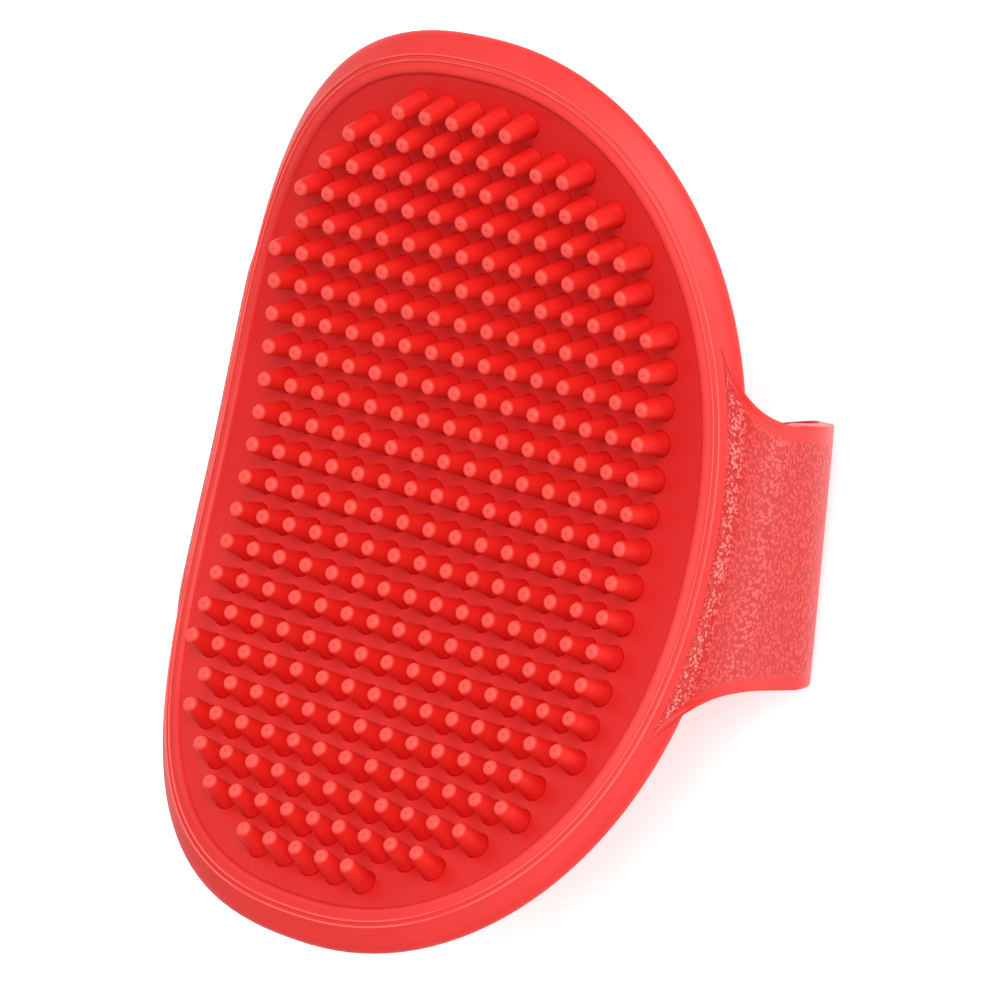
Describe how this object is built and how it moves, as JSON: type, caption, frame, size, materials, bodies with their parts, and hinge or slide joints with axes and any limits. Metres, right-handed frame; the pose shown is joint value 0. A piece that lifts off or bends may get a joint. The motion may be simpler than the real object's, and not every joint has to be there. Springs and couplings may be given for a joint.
{
  "type": "curry comb",
  "caption": "Bent oval rubber curry comb with a stepped, sloping rim, a square field of tapered nubs and a two-part hand strap that studs together behind the hand.",
  "frame": {"origin": "centre of the bounding box's bottom face, where the comb lies on the flat back of its strap", "axes": "+Z out of the nub side, X across the hand with the holed strap half at +X, Y along the comb's length"},
  "size_m": [0.0976, 0.1256, 0.0471],
  "materials": {
    "pad_rubber": "satin moulded rubber",
    "nub_rubber": "satin moulded rubber, paler at the tips",
    "strap_rubber": "leather-grained moulded rubber with smooth borders",
    "stud_rubber": "smooth moulded rubber"
  },
  "bodies": {
    "pad": {"pad_sheet": "pad_rubber", "rim": "pad_rubber", "strap_root_right": "strap_rubber", "strap_root_left": "strap_rubber", "nubs_left_7": "nub_rubber", "nubs_left_6": "nub_rubber", "nubs_left_5": "nub_rubber", "nubs_left_4": "nub_rubber", "nubs_left_3": "nub_rubber", "nubs_left_2": "nub_rubber", "nubs_left_1": "nub_rubber", "nubs_centre": "nub_rubber", "nubs_right_1": "nub_rubber", "nubs_right_2": "nub_rubber", "nubs_right_3": "nub_rubber", "nubs_right_4": "nub_rubber", "nubs_right_5": "nub_rubber", "nubs_right_6": "nub_rubber", "nubs_right_7": "nub_rubber"},
    "outer_strap": {"strap_with_holes": "strap_rubber"},
    "inner_strap": {"strap_with_studs": "strap_rubber", "strap_studs": "stud_rubber"}
  },
  "joints": [
    {"name": "inner_strap_hinge", "type": "hinge", "parent": "pad", "child": "inner_strap", "pos_m": [-0.04775, 0, 0.024], "axis": [0, 1, 0], "range_deg": [0, 35], "stiffness_Nm_per_rad": 0.02, "deforming": ["strap_studs"]},
    {"name": "outer_strap_hinge", "type": "hinge", "parent": "pad", "child": "outer_strap", "pos_m": [0.04775, 0, 0.024], "axis": [0, -1, 0], "range_deg": [0, 70], "stiffness_Nm_per_rad": 0.02}
  ],
  "couplings": [
    {"joint": "outer_strap_hinge", "follows": "inner_strap_hinge", "ratio": 2}
  ]
}
